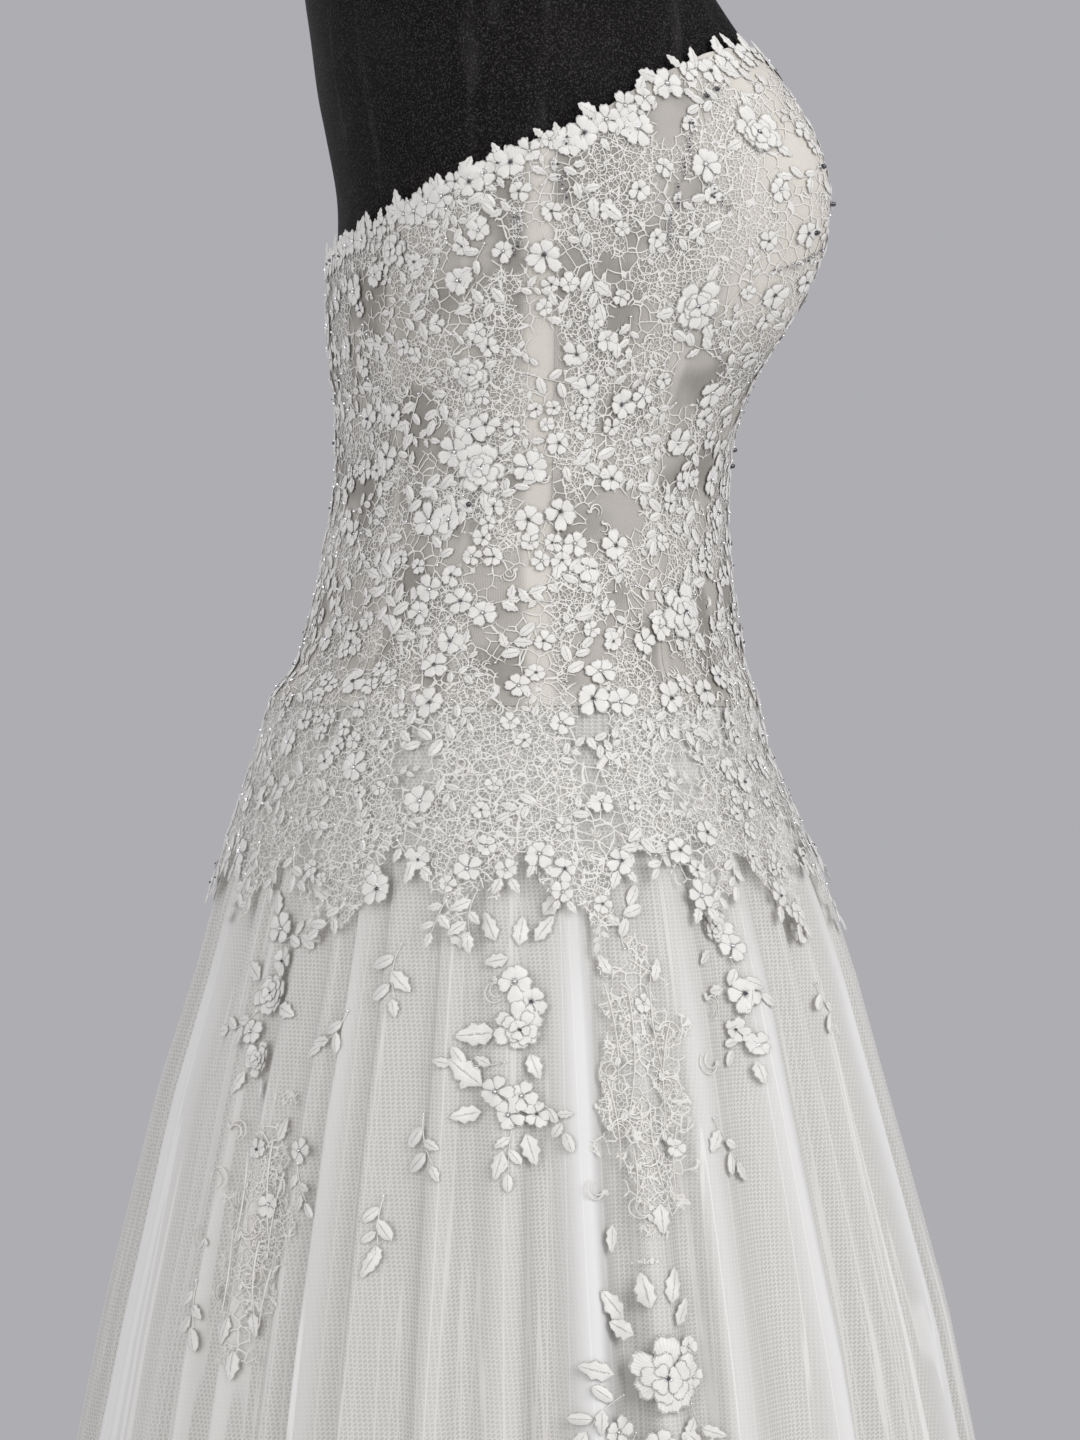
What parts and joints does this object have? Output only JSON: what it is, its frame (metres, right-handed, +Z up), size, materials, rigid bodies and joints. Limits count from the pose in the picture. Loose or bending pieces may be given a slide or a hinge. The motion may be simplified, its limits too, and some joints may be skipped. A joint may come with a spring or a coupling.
{
  "type": "wedding dress on dress form",
  "caption": "Strapless A-line wedding dress: corded floral lace bodice over a boned base, gathered tulle skirt over a satin lining, on a black limbless dress form with a stand.",
  "frame": {"origin": "on the floor, at the middle of the stand base's underside", "axes": "+Z up along the stand's pole, -Y out of the front of the dress, +X to the wearer's left"},
  "size_m": [0.85, 0.7649, 1.5763],
  "materials": {
    "bodice_lace": "corded floral lace with raised satin-stitch petals over net, boning strips and padded cups",
    "zip_tape": "closed zip under a woven tape",
    "outer_tulle": "soft hexagon-mesh bridal tulle",
    "inner_tulle": "hexagon-mesh tulle",
    "lining_satin": "matt satin lining",
    "applique_lace": "cut lace flowers sewn to the tulle",
    "form_cloth": "black jersey over a rigid form",
    "stand_metal": "black powder coat"
  },
  "bodies": {
    "root": {"bodice_front": "bodice_lace", "bodice_cup_left": "bodice_lace", "bodice_cup_right": "bodice_lace", "bodice_side_front_left": "bodice_lace", "bodice_side_front_right": "bodice_lace", "bodice_side_back_left": "bodice_lace", "bodice_side_back_right": "bodice_lace", "bodice_back_left": "bodice_lace", "bodice_back_right": "bodice_lace", "back_zip": "zip_tape", "tulle_outer_front": "outer_tulle", "tulle_outer_side_front_left": "outer_tulle", "tulle_outer_side_front_right": "outer_tulle", "tulle_outer_side_back_left": "outer_tulle", "tulle_outer_side_back_right": "outer_tulle", "tulle_outer_back": "outer_tulle", "tulle_inner_front": "inner_tulle", "tulle_inner_back": "inner_tulle", "lining_front": "lining_satin", "lining_left": "lining_satin", "lining_right": "lining_satin", "lining_back": "lining_satin", "applique_side_flowers_left": "applique_lace", "applique_side_flowers_right": "applique_lace", "applique_back_flowers_left": "applique_lace", "applique_back_flowers_right": "applique_lace", "applique_front_flowers_left": "applique_lace", "applique_front_flowers_right": "applique_lace", "applique_low_rose_left": "applique_lace", "applique_low_rose_right": "applique_lace", "applique_side_lace_left": "applique_lace", "applique_side_lace_right": "applique_lace", "applique_back_lace_left": "applique_lace", "applique_back_lace_right": "applique_lace", "form_torso": "form_cloth", "form_neck_cap": "stand_metal", "stand_collar": "stand_metal", "stand_pole": "stand_metal", "stand_base": "stand_metal"}
  },
  "joints": []
}
